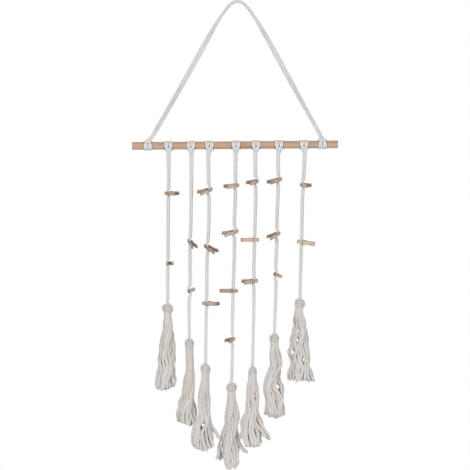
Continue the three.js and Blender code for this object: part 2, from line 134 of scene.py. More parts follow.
# The knot on a tassel: the four cords come in from above, spread, go once round, slanting, tuck in under
# themselves and leave below. Each row of the route gives the angle, the distance from the middle, the
# rise and the share of the cord's own level, and above and below it a height and a distance. For each
# level from the lowest: its height and its share of the distance. For each tassel: how far its knot is
# turned, in degrees, which way it is tied, its share of the usual width and how far it slants.
KNOT_ROUTE = table("angle radius rise share", [
    (40, 3.0, -3.0, 0.2),
    (0, 6.2, -3.8, 0.5),
    (-45, 8.0, -2.0, 0.85),
    (-90, 8.3, -0.2, 1.0),
    (-135, 8.2, 1.0, 1.0),
    (180, 8.0, 1.4, 1.0),
    (135, 7.9, 1.2, 1.0),
    (90, 7.9, 0.6, 1.0),
    (45, 7.8, 0.0, 1.0),
    (5, 7.4, -0.6, 0.9),
    (-40, 4.8, -1.8, 0.6),
    (-90, 2.2, -6.0, 0.3),
])
KNOT = {"middle": 10.0, "thick": (2.4, 3.9), "grows": 9.0}
KNOT_ABOVE = [(14.0, 0.9), (9.0, 2.0), (6.0, 3.3)]
KNOT_BELOW = [(-12.0, 1.4), (-17.0, 1.4)]
KNOT_LEVELS = [(-5.2, 0.9), (-1.8, 1.0), (1.7, 0.96), (4.9, 0.74)]
KNOT_STYLES = [
    (12, 1, 1.24, -0.5),
    (-20, -1, 0.97, -1.0),
    (35, 1, 1.06, -0.3),
    (-8, -1, 1.13, -0.4),
    (22, -1, 0.88, -1.2),
    (0, 1, 1.03, -1.6),
    (-30, 1, 1.12, -0.2),
]

# Tassel strands: the circles that they stand in, from the inside, each with its count in a tassel of
# the usual width, its share of the radius, the turn of its first strand, the tone of its strands, from
# warm to pale, and their share of the usual thickness. The warm tone of the inner circles is painted
# shade between the strands.
STRAND_CIRCLES = table("count radius turn tone thick", [
    (5, 0.2, 0.9, 0.0, 1.0),
    (9, 0.45, 0.4, 0.0, 1.0),
    (16, 0.68, 0.7, 0.1, 1.0),
    (25, 0.86, 0.2, 0.2, 1.0),
    (15, 0.97, 0.0, 0.85, 1.3),
])
OUTER_CIRCLE = STRAND_CIRCLES[-1]

# Strands, then their radius and their warmth, each as shares of their length and values there. The
# warmth scales how far a strand's tone goes towards the deep colour, which on inner strands is painted
# shade.
STRAND = {"thin": 1.0, "full": 2.0, "sides": 7, "step": 3.0, "root": 27.0, "stations": 30, "twist": 9.0}
STRAND_RADIUS = ((0.1, 0.35, 0.75, 0.96, 1.0), (0.95, 1.45, 2.05, 2.2, 0.9))
STRAND_WARMTH = ((0.12, 0.35, 0.7, 1.0), (0.6, 0.95, 1.0, 0.25))

# How the skirt spreads, waves and curls at its ends
NECK = {"width": 15.0, "top": 11.0, "narrow": 17.0}
SKIRT = {"usual": 40.0, "depth": 0.95, "uneven": 4.5, "uneven_x": 5.0, "uneven_y": 7.0}
WAVE = {"width": 2.4, "depth": 0.6, "length": 72.0, "lag_x": 1.6, "lag_y": 2.0}
CURL = {"width": 4.0, "from": 0.75}
WANDER = {"width": 1.1, "length": 34.0, "lag_x": 5.0, "lag_y": 3.5}

# The ranges that chance picks from, for a knot's cords and for a skirt's strands
KNOT_CHANCE = {"phase": (0.0, 6.0), "tone": (0.85, 1.0)}
STRAND_CHANCE = {
    "angle": (-0.3, 0.3), "reach": (0.9, 1.03), "lag": (0.0, 2.5), "wander": (0.4, 1.4),
    "curl": (-1.0, 1.0), "thick": (0.85, 1.15), "tone": (-0.35, 0.35),
}

# Loose ends of outer strands: the tassel, the strand's angle round it in degrees from its right, the
# share of its length where it leaves the skirt, how far it reaches out sideways and how far it lifts.
# A strand is loose, and thicker, if it stands within a small share of a turn of that angle.
LOOSE_ENDS = table("tassel angle from out lift", [
    (3, 0, 0.6, 13, 7),
    (4, 0, 0.6, 18, 22),
    (4, 144, 0.5, -12, 9),
    (4, 180, 0.45, -15, 13),
    (5, 0, 0.6, 16, 7),
    (5, 324, 0.55, 20, 18),
    (5, 180, 0.6, -6, 7),
])
HELD_END = {"from": 0.0, "out": 0.0, "lift": 0.0}
LOOSE = {"within": 0.04, "thicker": 1.25}

# Where the strands of a tassel part and show the light through it: the tassel, the share of the
# strands' length, the place to the right of the skirt's middle and how far the strands there move aside
PARTING = {"reach": 9.0, "length": 0.05}
PARTINGS = table("tassel at across aside", [
    (3, 0.66, 0.0, 5.4),
    (5, 0.24, 3.0, 1.8),
    (6, 0.58, 10.0, 4.8),
    (7, 0.28, -3.5, 3.4),
    (7, 0.41, -4.5, 3.6),
    (7, 0.59, -13.5, 4.4),
    (7, 0.7, 7.5, 3.4),
])

# Spring clips: places along them from the tip, heights of their jaws from the middle of the gap, the
# notch that holds the cord and the radius of the coil's seat
CLIP = {"length": 35.2, "width": 7.0, "cord_at": 8.8, "pivot_at": 17.6, "gap": 0.5}
JAW = {"tip": 2.7, "crown": 4.1, "crown_from": 11.0, "back_from": 22.0, "back": 4.5, "end": 6.1}
HANDLE_GAP = 3.3
NOTCH = {"depth": 1.5, "flat": 4.4, "ramp": 5.6}
SEAT = 2.4

# Rounding of a jaw: its corners as seen from outside and the share of them that is cut off, its edges
# and the most that they take of its thickness, and how near an end it starts to thin
JAW_ROUND = {"corner": 1.9, "cut": 0.55, "edge": 0.55, "most": 0.45, "thin": 0.8, "points": 4}
JAW_SHARP = 38.0

# Sections of a jaw: their places from its tip and from its end, the first, last and count along its
# handle, and their counts in its groove and its seat
JAW_SECTIONS = {
    "tip": (0.0, 0.12, 0.4, 0.9, 1.6, 2.4),
    "end": (2.4, 1.4, 0.7, 0.3, 0.1, 0.0),
    "handle": (24.0, 32.0, 4), "groove": 7, "seat": 11,
}

# Painted shade on a jaw's inner edges, where the gap between the jaws lies in shadow, and its wood darker
# towards its ends
JAW_SHADE_AND_ENDS = {"edges": (1.0, 0.6, 0.6, 1.0), "reach": (0.0, 0.5, 3.0), "ends": (0.4, 0.6, 1.0)}

# Spring wire, its groove in the jaw, and its coil
WIRE = {"radius": 0.42, "groove_at": 11.0, "groove": 0.75, "sunk": 1.3, "sides": 8, "step": 0.55}
COIL = {"radius": 1.75, "turns": 5.5, "reach": 3.0, "steps": 70}

# The spring's arm: how far past the pivot it leaves the coil, how many wire radii it is sunk in the
# groove and stands beside the jaw, and how far it ends from the other side. Then its bends, as steps
# along the clip, out from the coil or in from the face, and in from the side.
ARM = {"leaves": 0.4, "sunk": 0.3, "beside": 1.15, "short": 0.8}
ARM_AT_COIL = [(-0.9, 0.1, 0.1), (-3.2, 0.9, 0.0)]
ARM_AT_GROOVE = [(0.7, 0.5, 0.0), (0.0, 0.0, 0.5)]

# The cord between the jaws: how far it leans from the coil's direction, and how it is pressed flat
CORD_LEAN = 20.0
PINCH = {"thick": 0.41, "spread": 1.02, "inside": 4.8, "outside": 8.5}

# Clips: string, height, the side that the handle points to, droop, forward and roll in degrees, and
# how pale the wood is from 0 to 1
CLIPS = table("string z side droop forward roll pale", [
    (1, -369.6, 1, 2, 48, 8, 0.62),
    (1, -505.5, 1, 1, 77, 5, 0.9),
    (2, -464.4, 1, 22, 67, 12, 0.58),
    (2, -559.5, 1, -3, -80, -26, 0.9),
    (3, -363.3, -1, 14, 43, 30, 0.9),
    (3, -474.0, 1, 21, 47, 26, 0.32),
    (3, -583.6, 1, 1, 30, 6, 0.4),
    (4, -354.6, -1, 6, 44, 14, 0.8),
    (4, -444.5, -1, 11, 36, 32, 1.0),
    (4, -559.1, -1, 0, 4, 4, 0.2),
    (4, -653.3, -1, 4, 68, 12, 0.75),
    (5, -346.6, -1, 9, 58, 18, 0.78),
    (5, -460.0, -1, 1, 10, 5, 0.62),
    (5, -540.1, -1, 4, 37, 24, 0.75),
    (6, -343.2, -1, 13, 44, 14, 0.72),
    (6, -448.8, -1, 16, 51, 28, 0.84),
    (6, -527.4, 1, 6, -73, 22, 0.84),
    (7, -353.4, 1, 5, 65, 12, 0.82),
    (7, -464.3, 1, 9, 4, 10, 0.68),
])

# How the tone of a clip's back and front jaw differs from the clip's
BACK_CHANCE = (-0.12, 0.02)
FRONT_CHANCE = (-0.04, 0.12)

# Woods: their colours, the scale of the grain along them and their roughness
WOODS = table("name pale mid dark grain roughness", [
    ("dowel_wood", (0.735, 0.505, 0.365), (0.6, 0.41, 0.3), (0.43, 0.28, 0.21), 26.0, 0.62),
    ("clip_wood", (0.81, 0.67, 0.55), (0.65, 0.515, 0.42), (0.36, 0.245, 0.185), 22.0, 0.66),
])

# The lines and bands of the grain: how much finer they are across it, their detail, how far a piece's
# tone shifts them and where the dark, middle and pale colours stand
GRAIN_LINES = {"finer": 34.0, "detail": 5.0, "shift": 900.0, "stops": (0.32, 0.5, 0.68)}
GRAIN_BANDS = {"finer": 5.0, "detail": 3.0, "shift": 90.0, "stops": (0.3, 0.48, 0.7)}
GRAIN_RELIEF = {"strength": 0.25, "distance": 0.0003}
BANDS_SHARE = 0.5

# How the wood's colour changes with the tone of a piece and with the tone at a place on it, which is
# painted shade under the dowel's knots and on the jaws' inner edges, and darker wood towards the jaws'
# ends
PIECE_LIFT = [(0.0, (0.6, 0.51, 0.49)), (1.0, (1.12, 1.12, 1.1))]
PLACE_SHADE = [(0.0, (0.34, 0.28, 0.25)), (1.0, (1.0, 1.0, 1.0))]

# Cottons: their pale and deep colours, how the fibres turn about a strand and how much they stand out.
# The strands' deep colour is a warm tone in patches and from strand to strand, and the painted shade on a
# tassel's inner strands.
COTTONS = table("name pale deep twist relief", [
    ("cord_cotton", (0.845, 0.846, 0.843), (0.785, 0.782, 0.779), 0.0, 0.25),
    ("strand_cotton", (0.75, 0.739, 0.731), (0.66, 0.555, 0.475), 0.55, 0.45),
])
COTTON = {"roughness": 0.95, "sheen": 0.15, "sheen_roughness": 0.6, "specular": 0.2}
FIBRES = {"scale": (16.0, 0.6, 1.0), "detail": 4.0, "distance": 0.0006}
FIBRE_SHADE = [(0.25, (0.88, 0.87, 0.86)), (0.55, (1.0, 1.0, 1.0))]
PATCHES = {"scale": (38.0, 38.0, 26.0), "detail": 2.0, "stops": (0.3, 0.62), "share": 0.3}

# Spring steel and its drawing marks
STEEL = {"colour": (0.3, 0.26, 0.23), "roughness": 0.42, "metallic": 0.85}
STEEL_MARKS = {"scale": (26.0, 1.5, 1.0), "detail": 2.0}
STEEL_TINT = [(0.3, (0.2, 0.17, 0.15)), (0.7, (0.36, 0.32, 0.29))]
STEEL_RELIEF = {"strength": 0.15, "distance": 0.0001}

# Studio: its lamps, the grey of its walls at two places from the front to the back, and its floor
LAMPS = table("name place size power colour", [
    ("key_lamp", (-1500.0, -2600.0, 100.0), 1500.0, 39.0, (1.0, 0.99, 0.98)),
    ("fill_lamp", (1900.0, -2200.0, -300.0), 1800.0, 24.0, (0.98, 0.99, 1.0)),
    ("back_lamp", (500.0, 2600.0, 1400.0), 1200.0, 22.0, (1.0, 1.0, 1.0)),
])
WALLS = [(0.8, 0.42), (0.96, 1.0)]
FLOOR = {"half": 1150.0, "z": -1050.0, "colour": (0.8, 0.8, 0.79), "roughness": 0.8}
FLOOR_MOTTLE = {"scale": (3.0, 3.0, 3.0), "detail": 2.0}
FLOOR_TINT = [(0.3, (0.78, 0.78, 0.77)), (0.7, (0.82, 0.82, 0.81))]

# Directions, how steep a path may start before it is framed from the front, the points of a curve
# between two given ones, and the tone of cords and wires that are all alike
X_AXIS = np.array([1.0, 0.0, 0.0])
UP = np.array([0.0, 0.0, 1.0])
FRONT = np.array([0.0, -1.0, 0.0])
STEEP = 0.8
CURVE_POINTS = 16
PLAIN_TONE = 0.5


# Paths
def unit(vector):
    return vector / np.linalg.norm(vector)


def lengths_along(path):
    return np.concatenate([[0.0], np.cumsum(np.linalg.norm(np.diff(path, axis=0), axis=1))])


def even_steps(points, step):
    """Points at even steps along a line of points."""
    places = lengths_along(points)
    count = max(3, int(round(places[-1] / step)) + 1)
    even = np.linspace(0.0, places[-1], count)
    return np.stack([np.interp(even, places, points[:, k]) for k in range(3)], axis=1)


def smooth_path(points, step):
    """Points at even steps along a smooth curve through the given points."""
    points = np.asarray(points, float)
    ends = np.vstack([2 * points[0] - points[1], points, 2 * points[-1] - points[-2]])
    gaps = np.sqrt(np.linalg.norm(np.diff(ends, axis=0), axis=1))[:, None]
    before, start, end, after = ends[:-3], ends[1:-2], ends[2:-1], ends[3:]
    g0, g1, g2 = gaps[:-2], gaps[1:-1], gaps[2:]
    leave = g1 * ((start - before) / g0 - (end - before) / (g0 + g1) + (end - start) / g1)
    arrive = g1 * ((end - start) / g1 - (after - start) / (g1 + g2) + (after - end) / g2)
    t = np.linspace(0.0, 1.0, CURVE_POINTS, endpoint=False)[None, :, None]
    curve = (
        (2 * t**3 - 3 * t**2 + 1) * start[:, None]
        + (t**3 - 2 * t**2 + t) * leave[:, None]
        + (3 * t**2 - 2 * t**3) * end[:, None]
        + (t**3 - t**2) * arrive[:, None]
    )
    return even_steps(np.vstack([curve.reshape(-1, 3), points[-1]]), step)


def directions(path):
    tangents = np.gradient(path, axis=0)
    return tangents / np.linalg.norm(tangents, axis=1)[:, None]


def frames(path):
    """Two directions square to a path at each of its points, turning no more than the path does."""
    tangents = directions(path)
    side = np.cross(tangents[0], UP if abs(tangents[0][2]) < STEEP else FRONT)
    across = np.empty_like(path)
    for i, tangent in enumerate(tangents):
        side = unit(side - tangent * side.dot(tangent))
        across[i] = side
    return across, np.cross(tangents, across)


# Tubes
def tube(path, radii, sides, turn=0.0):
    """Rings of points about a path. The radii are one number, one for each side or one for each ring."""
    across, out = frames(path)
    angles = 2 * np.pi * np.arange(sides)[None, :] / sides + np.reshape(turn, (-1, 1))
    ring = np.cos(angles)[..., None] * across[:, None] + np.sin(angles)[..., None] * out[:, None]
    return path[:, None] + np.broadcast_to(radii, (len(path), sides))[..., None] * ring


def rope(path, thick=CORD["thick"], phase=0.0):
    """A cord of plies that wind about each other along a path, of one thickness or one for each point."""
    angles = 2 * np.pi * np.arange(CORD["sides"]) / CORD["sides"]
    plies = 1 - CORD["groove"] * (1 - np.cos(angles * CORD["plies"])) / 2
    radii = np.reshape(thick, (-1, 1)) / 2 * plies
    turn = phase + 2 * np.pi * lengths_along(path) / CORD["pitch"]
    return tube(path, radii, CORD["sides"], turn)


class Skin:
    """Collects tubes, given as rings of points in millimetres, and makes them one mesh."""

    def __init__(self):
        self.points = []
        self.quads = []
        self.tris = []
        self.uvs = []
        self.tones = []
        self.count = 0

    def add(self, rings, tone=PLAIN_TONE):
        """Adds a tube with closed ends, of one tone or of tones for its rings or its points."""
        many, sides = rings.shape[:2]
        ring = np.arange(many - 1)[:, None] * sides + self.count
        here = np.arange(sides)[None, :]
        there = (here + 1) % sides
        corners = [ring + here, ring + there, ring + sides + there, ring + sides + here]
        self.quads.append(np.stack(corners, axis=-1).reshape(-1, 4))
        girth = np.pi * np.ptp(rings[0], axis=0).max()
        along = lengths_along(rings.mean(axis=1)) / girth
        u = np.broadcast_to(here / sides, (many - 1, sides))
        low = np.broadcast_to(along[:-1, None], u.shape)
        high = np.broadcast_to(along[1:, None], u.shape)
        beside = u + 1 / sides
        pairs = [np.stack(pair, axis=-1) for pair in ((u, low), (beside, low), (beside, high), (u, high))]
        self.uvs.append(np.stack(pairs, axis=2).reshape(-1, 2))
        first = self.count + here[0]
        last = first + (many - 1) * sides
        centres = self.count + many * sides + np.arange(2)
        self.tris.append(np.stack([np.full(sides, centres[0]), np.roll(first, -1), first], axis=1))
        self.tris.append(np.stack([np.full(sides, centres[1]), last, np.roll(last, -1)], axis=1))
        ends = np.stack([rings[0].mean(axis=0), rings[-1].mean(axis=0)])
        self.points.append(np.vstack([rings.reshape(-1, 3), ends]))
        ring_tones = np.broadcast_to(tone, (many, sides))
        end_tones = [ring_tones[0].mean(), ring_tones[-1].mean()]
        self.tones.append(np.concatenate([ring_tones.ravel(), end_tones]))
        self.count += many * sides + 2

    def mesh(self, name):
        quads = np.vstack(self.quads).tolist()
        tris = np.vstack(self.tris).tolist()
        uvs = np.vstack([*self.uvs, np.zeros((3 * len(tris), 2))])
        mesh = bpy.data.meshes.new(name)
        mesh.from_pydata(np.vstack(self.points) * MM, [], quads + tris)
        mesh.uv_layers.new(name="UVMap").uv.foreach_set("vector", uvs.ravel())
        tones = mesh.attributes.new("tone", "FLOAT", "POINT")
        tones.data.foreach_set("value", np.concatenate(self.tones))
        mesh.shade_smooth()
        return mesh


def add_object(name, data):
    thing = bpy.data.objects.new(name, data)
    bpy.context.scene.collection.objects.link(thing)
    return thing


def make_piece(name, mesh, material, body, nodes=(), matrix=None):
    """A piece of the object that takes the place of some nodes and moves with a body."""
    piece = add_object(name, mesh)
    if not mesh.materials:
        mesh.materials.append(material)
    if matrix is not None:
        piece.matrix_world = matrix
    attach(piece, body)
    if nodes:
        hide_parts(*nodes)
    return piece


# Materials
def new_material(name, colour, roughness):
    material = bpy.data.materials.new(name)
    material.use_nodes = True
    material.diffuse_color = (*colour, 1.0)
    shader = material.node_tree.nodes["Principled BSDF"]
    shader.inputs["Base Color"].default_value = (*colour, 1.0)
    shader.inputs["Roughness"].default_value = roughness
    return material, shader


def add_node(material, kind, **settings):
    node = material.node_tree.nodes.new(kind)
    for key, value in settings.items():
        setattr(node, key, value)
    return node


def link(material, source, target):
    material.node_tree.links.new(source, target)


def streaks(material, coordinates, scale, detail, twist=0.0):
    """Noise in the given texture coordinates, turned by a twist and stretched along each of them."""
    place = add_node(material, "ShaderNodeTexCoord")
    turned = add_node(material, "ShaderNodeMapping")
    turned.inputs["Rotation"].default_value = (0.0, 0.0, twist)
    mapping = add_node(material, "ShaderNodeMapping")
    mapping.inputs["Scale"].default_value = scale
    noise = add_node(material, "ShaderNodeTexNoise")
    noise.inputs["Scale"].default_value = 1.0
    noise.inputs["Detail"].default_value = detail
    link(material, place.outputs[coordinates], turned.inputs["Vector"])
    link(material, turned.outputs["Vector"], mapping.inputs["Vector"])
    link(material, mapping.outputs["Vector"], noise.inputs["Vector"])
    return noise, mapping


def ramp(material, source, stops):
    """Colours for a value from 0 to 1, from pairs of place and colour."""
    node = add_node(material, "ShaderNodeValToRGB")
    elements = node.color_ramp.elements
    for index, (place, colour) in enumerate(stops):
        stop = elements[index] if index < 2 else elements.new(place)
        stop.position = place
        stop.color = (*colour, 1.0)
    link(material, source, node.inputs["Fac"])
    return node.outputs["Color"]


def add_bump(material, shader, source, strength, distance):
    bump = add_node(material, "ShaderNodeBump")
    bump.inputs["Strength"].default_value = strength
    bump.inputs["Distance"].default_value = distance
    link(material, source, bump.inputs["Height"])
    link(material, bump.outputs["Normal"], shader.inputs["Normal"])


def mix_colours(material, first, second, share=1.0, mode="MIX"):
    node = add_node(material, "ShaderNodeMix", data_type="RGBA", blend_type=mode)
    colours = [socket for socket in node.inputs if socket.type == "RGBA"]
    node.inputs["Factor"].default_value = share
    link(material, first, colours[0])
    link(material, second, colours[1])
    return next(socket for socket in node.outputs if socket.type == "RGBA")


def make_cotton(name, pale, deep, twist, relief):
    """Matt cotton: fibres along the plies, and a tone by strand: a little random, and painted shade on a
    tassel's inner strands.
    """
    material, shader = new_material(name, pale, COTTON["roughness"])
    shader.inputs["Sheen Weight"].default_value = COTTON["sheen"]
    shader.inputs["Sheen Roughness"].default_value = COTTON["sheen_roughness"]
    shader.inputs["Specular IOR Level"].default_value = COTTON["specular"]
    fibres, _ = streaks(material, "UV", FIBRES["scale"], FIBRES["detail"], twist)
    patches, _ = streaks(material, "Object", PATCHES["scale"], PATCHES["detail"])
    tone = add_node(material, "ShaderNodeAttribute", attribute_name="tone")
    # The tone attribute: random on cords and knots, and painted shade on a tassel's inner strands
    by_strand = ramp(material, tone.outputs["Fac"], zip((0.0, 1.0), (deep, pale)))
    by_patch = ramp(material, patches.outputs["Fac"], zip(PATCHES["stops"], (deep, pale)))
    shade = ramp(material, fibres.outputs["Fac"], FIBRE_SHADE)
    colour = mix_colours(material, by_strand, by_patch, PATCHES["share"])
    colour = mix_colours(material, colour, shade, mode="MULTIPLY")
    link(material, colour, shader.inputs["Base Color"])
    add_bump(material, shader, fibres.outputs["Fac"], relief, FIBRES["distance"])
    return material


def make_grain(material, tone, grain, pattern, colours):
    """The lines or the bands of a wood, shifted by each piece's tone: their noise and their colours."""
    across = pattern["finer"] * grain
    noise, place = streaks(material, "Object", (grain, across, across), pattern["detail"])
    shift = add_node(material, "ShaderNodeMath", operation="MULTIPLY")
    shift.inputs[1].default_value = pattern["shift"]
    link(material, tone, shift.inputs[0])
    link(material, shift.outputs["Value"], place.inputs["Location"])
    return noise.outputs["Fac"], ramp(material, noise.outputs["Fac"], zip(pattern["stops"], colours))


def make_wood(name, pale, mid, dark, grain, roughness):
    """Plain wood with its grain along the piece's own X axis, a little different on each piece, darkened
    by the mesh's tone: painted shade under knots and on the jaws' inner edges, and darker towards the
    jaws' ends.
    """
    material, shader = new_material(name, mid, roughness)
    piece = add_node(material, "ShaderNodeAttribute", attribute_type="OBJECT", attribute_name="tone")
    tone = piece.outputs["Fac"]
    fine, lines = make_grain(material, tone, grain, GRAIN_LINES, (dark, mid, pale))
    _, bands = make_grain(material, tone, grain, GRAIN_BANDS, (dark, mid, pale))
    # The mesh's tone: painted shade under the dowel's knots and on the jaws' inner edges, darker wood
    # near the jaws' ends
    place = add_node(material, "ShaderNodeAttribute", attribute_name="tone")
    lift = ramp(material, tone, PIECE_LIFT)
    shade = ramp(material, place.outputs["Fac"], PLACE_SHADE)
    wood = mix_colours(material, lines, bands, BANDS_SHARE)
    wood = mix_colours(material, wood, lift, mode="MULTIPLY")
    wood = mix_colours(material, wood, shade, mode="MULTIPLY")
    link(material, wood, shader.inputs["Base Color"])
    add_bump(material, shader, fine, **GRAIN_RELIEF)
    return material


def make_steel():
    """Dull spring wire with faint drawing marks along it."""
    material, shader = new_material("spring_wire", STEEL["colour"], STEEL["roughness"])
    shader.inputs["Metallic"].default_value = STEEL["metallic"]
    marks, _ = streaks(material, "UV", **STEEL_MARKS)
    link(material, ramp(material, marks.outputs["Fac"], STEEL_TINT), shader.inputs["Base Color"])
    add_bump(material, shader, marks.outputs["Fac"], **STEEL_RELIEF)
    return material


# Dowel
def dowel_height(x):
    return DOWEL["z"] + (x - DOWEL["x"]) * math.tan(math.radians(DOWEL["tilt"]))


def make_dowel(wood):
    """A turned rod along its own X axis, with its end edges rounded over."""
    half = DOWEL["length"] / 2
    edge = DOWEL["edge"]
    bend = np.linspace(0.0, np.pi / 2, DOWEL_MESH["edge_rings"])
    round_x = half - edge + edge * np.sin(bend)
    round_radius = DOWEL["radius"] - edge + edge * np.cos(bend)
    # Extra rings beside each knot carry the painted shadow under it
    knots = np.array([row["x"] for row in STRINGS + HANGER_KNOTS]) - DOWEL["x"]
    beside = np.outer((-1, 1), KNOT_SHADOW_ON_DOWEL["reach"])
    even = np.linspace(-half, half, DOWEL_MESH["rings"])[1:-1]
    body_x = np.sort(np.concatenate([even, (knots[:, None] + beside.ravel()).ravel()]))
    x = np.concatenate([-round_x[::-1], body_x, round_x])
    radius = np.concatenate([round_radius[::-1], np.full(len(body_x), DOWEL["radius"]), round_radius])
    # Painted shadow: the wood's tone is darker near each knot, where the knot shades the dowel
    tones = np.interp(np.abs(x[:, None] - knots).min(axis=1), KNOT_SHADOW_ON_DOWEL["reach"], KNOT_SHADOW_ON_DOWEL["tone"])
    sides = DOWEL_MESH["sides"]
    angles = 2 * np.pi * np.arange(sides) / sides
    rings = np.empty((len(x), sides, 3))
    rings[..., 0] = x[:, None]
    rings[..., 1] = radius[:, None] * np.cos(angles)
    rings[..., 2] = radius[:, None] * np.sin(angles)
    skin = Skin()
    skin.add(rings, tones[:, None])
    mesh = skin.mesh("dowel_rod")
    mesh.set_sharp_from_angle(angle=math.radians(DOWEL_MESH["sharp"]))
    place = Matrix.Translation(Vector((DOWEL["x"], 0, DOWEL["z"])) * MM)
    turn = Matrix.Rotation(-math.radians(DOWEL["tilt"]), 4, "Y")
    piece = make_piece("dowel_rod", mesh, wood, BODY, ["dowel"], place @ turn)
    piece["tone"] = DOWEL["tone"]


# Knots on the dowel
def lean_of_tail(lean, reach):
    return lean * np.maximum(0.0, reach - LEAN_FROM)


def half_knot(cord, hand, x, side, lean):
    """One half of a cord's loop round the dowel, from its tail to the middle of its bar.

    The hand is -1 for the left half, and the side is 1 where the tails hang down and -1 where they rise.
    """
    degrees, spread = np.transpose(cord["wrap"])
    angles = np.radians(degrees)
    wrap = np.stack([spread, WRAP["radius"] * np.cos(angles), WRAP["radius"] * np.sin(angles)], axis=1)
    tail = np.array(cord["tail"])
    points = np.vstack([tail, wrap, cord["bar"]])
    points[:, 0] *= hand
    points[:len(tail), 0] += lean_of_tail(lean, -tail[:, 2])
    points[:, 2] *= side
    return points + [x, 0.0, dowel_height(x)]


def hug(rings, path, x):
    """Flattens a cord against the dowel, and against the cords on it, at the knot at x."""
    centre = path - [x, 0.0, dowel_height(x)]
    beside = np.abs(centre[:, 0])
    centre[:, 0] = 0.0
    reach = np.linalg.norm(centre, axis=1)
    distance = np.maximum(reach, beside)
    radial = (centre / reach[:, None])[:, None]
    share = np.clip((WRAP["far"] - distance) / (WRAP["far"] - WRAP["near"]), 0.0, 1.0)[:, None, None]
    offset = (rings - path[:, None]) * (1 + WRAP["spread"] * share)
    height = (offset * radial).sum(axis=2, keepdims=True)
    flat = WRAP["flat"] / (1 + WRAP["spread"])
    return path[:, None] + offset + share * (flat - 1) * height * radial


# Hanging cord
def hanger_strands():
    """The four strands of the hanging cord between its knots: outer, inner, front and back."""
    route = np.array([(row["x"], 0.0, row["z"]) for row in HANGER_ROUTE])
    across = np.cross(FRONT, directions(route))
    width = np.array([row["width"] for row in HANGER_ROUTE])
    depth = np.array([row["depth"] for row in HANGER_ROUTE])
    side = np.maximum((width - CORD["thick"]) / 2, HANGER_PACK["across"])[:, None] * across
    ahead = np.maximum((depth - CORD["thick"]) / 2, HANGER_PACK["depth"])[:, None] * FRONT
    return route + side, route - side, route + ahead, route - ahead


def make_hanger(cotton):
    """Two closed loops of cord, each tied to the dowel at both ends."""
    outer, inner, ahead, behind = hanger_strands()
    left, right = HANGER_KNOTS
    skin = Skin()
    for cord, first, second in ((OUTER_CORD, outer, inner), (INNER_CORD, ahead, behind)):
        left_out, left_in = (half_knot(cord, hand, left["x"], -1, left["lean"]) for hand in (-1, 1))
        right_out, right_in = (half_knot(cord, hand, right["x"], -1, right["lean"]) for hand in (1, -1))
        loop = [left_out[::-1], first, right_out, right_in[-2::-1], second[::-1], left_in]
        path = smooth_path(np.vstack(loop), CORD["step"])
        skin.add(hug(hug(rope(path), path, left["x"]), path, right["x"]))
    make_piece("hanger_cords", skin.mesh("hanger_cords"), cotton, BODY, ["hanger"])


# Clips on the strings
def string_x(row, z):
    top = dowel_height(row["x"])
    return row["x"] + row["drift"] * (top - z) / (top - row["foot"])


def cord_point(clip):
    return np.array([string_x(STRINGS[clip["string"] - 1], clip["z"]), 0.0, clip["z"]])


def clip_axes(clip):
    """The clip's directions: along its handle, out of its front jaw and along its spring's coil."""
    down, ahead, roll = (math.radians(clip[key]) for key in ("droop", "forward", "roll"))
    side = clip["side"]
    flat = math.cos(down)
    along = np.array([side * flat * math.cos(ahead), -flat * math.sin(ahead), -math.sin(down)])
    level = np.array([-side * math.sin(ahead), -math.cos(ahead), 0.0])
    under = np.cross(along, level) * side
    out = level * math.cos(roll) + under * math.sin(roll)
    return along, out, np.cross(along, out)


def cord_direction(along, out, coil):
    """The way up of the cord between the jaws: as upright as the jaws and their notch let it be."""
    upright = UP - UP.dot(out) * out
    rise = coil * np.sign(upright.dot(coil))
    limit = math.radians(CORD_LEAN)
    lean = float(np.clip(math.atan2(upright.dot(along), upright.dot(rise)), -limit, limit))
    return rise * math.cos(lean) + along * math.sin(lean)


def press(points, clip):
    """Flattens the points of a string where a clip's jaws hold it."""
    axes = clip_axes(clip)
    upward = cord_direction(*axes)
    offset = points - cord_point(clip)
    reach = offset @ upward
    middle = reach[..., None] * upward
    share = np.clip((PINCH["outside"] - np.abs(reach)) / (PINCH["outside"] - PINCH["inside"]), 0.0, 1.0)
    share = (share * share * (3 - 2 * share))[..., None]
    offset = offset - middle
    height = (offset @ axes[1])[..., None]
    wider = offset * (1 + (PINCH["spread"] - 1) * share)
    flatter = axes[1] * (PINCH["thick"] - PINCH["spread"]) * share * height
    return cord_point(clip) + middle + wider + flatter


# Strings
def string_centre(row, clips, lean):
    """The middle of a string from under its knot to its tassel, straight between its clips' jaws."""
    drop = BUNDLE_ENDS["below_dowel"]
    points = [[row["x"] + lean_of_tail(lean, drop), 0.0, dowel_height(row["x"]) - drop]]
    for clip in clips:
        upward = cord_direction(*clip_axes(clip))
        for reach in (PINCH["outside"], PINCH["inside"], -PINCH["inside"], -PINCH["outside"]):
            z = clip["z"] + reach / upward[2]
            free = np.array([string_x(row, z), 0.0, z])
            held = cord_point(clip) + upward * reach
            points.append(held if abs(reach) == PINCH["inside"] else free)
    end = row["foot"] - BUNDLE_ENDS["into_knot"]
    points.append([string_x(row, end), 0.0, end])
    return smooth_path(points, BUNDLE_ENDS["step"])


def string_strands(row, clips, lean):
    """The four cords of a string: front right, front left, back left and back right at its top."""
    centre = string_centre(row, clips, lean)
    tangents = directions(centre)
    across = X_AXIS - tangents * tangents[:, :1]
    across /= np.linalg.norm(across, axis=1)[:, None]
    out = np.cross(tangents, across)
    drop = centre[0][2] - centre[:, 2]
    turn = np.radians(BUNDLE["twist"] * drop)
    sideways = np.cos(turn)[:, None] * across + np.sin(turn)[:, None] * out
    ahead = np.cos(turn)[:, None] * out - np.sin(turn)[:, None] * across
    gathers = (0.0, BUNDLE["gathers"])
    spans = (BUNDLE[key] for key in ("front", "back", "deep"))
    front, back, deep = (np.interp(drop, gathers, span)[:, None] for span in spans)
    places = ((front, deep), (-front, deep), (-back, -deep), (back, -deep))
    return [centre + wide * sideways + depth * ahead for wide, depth in places]


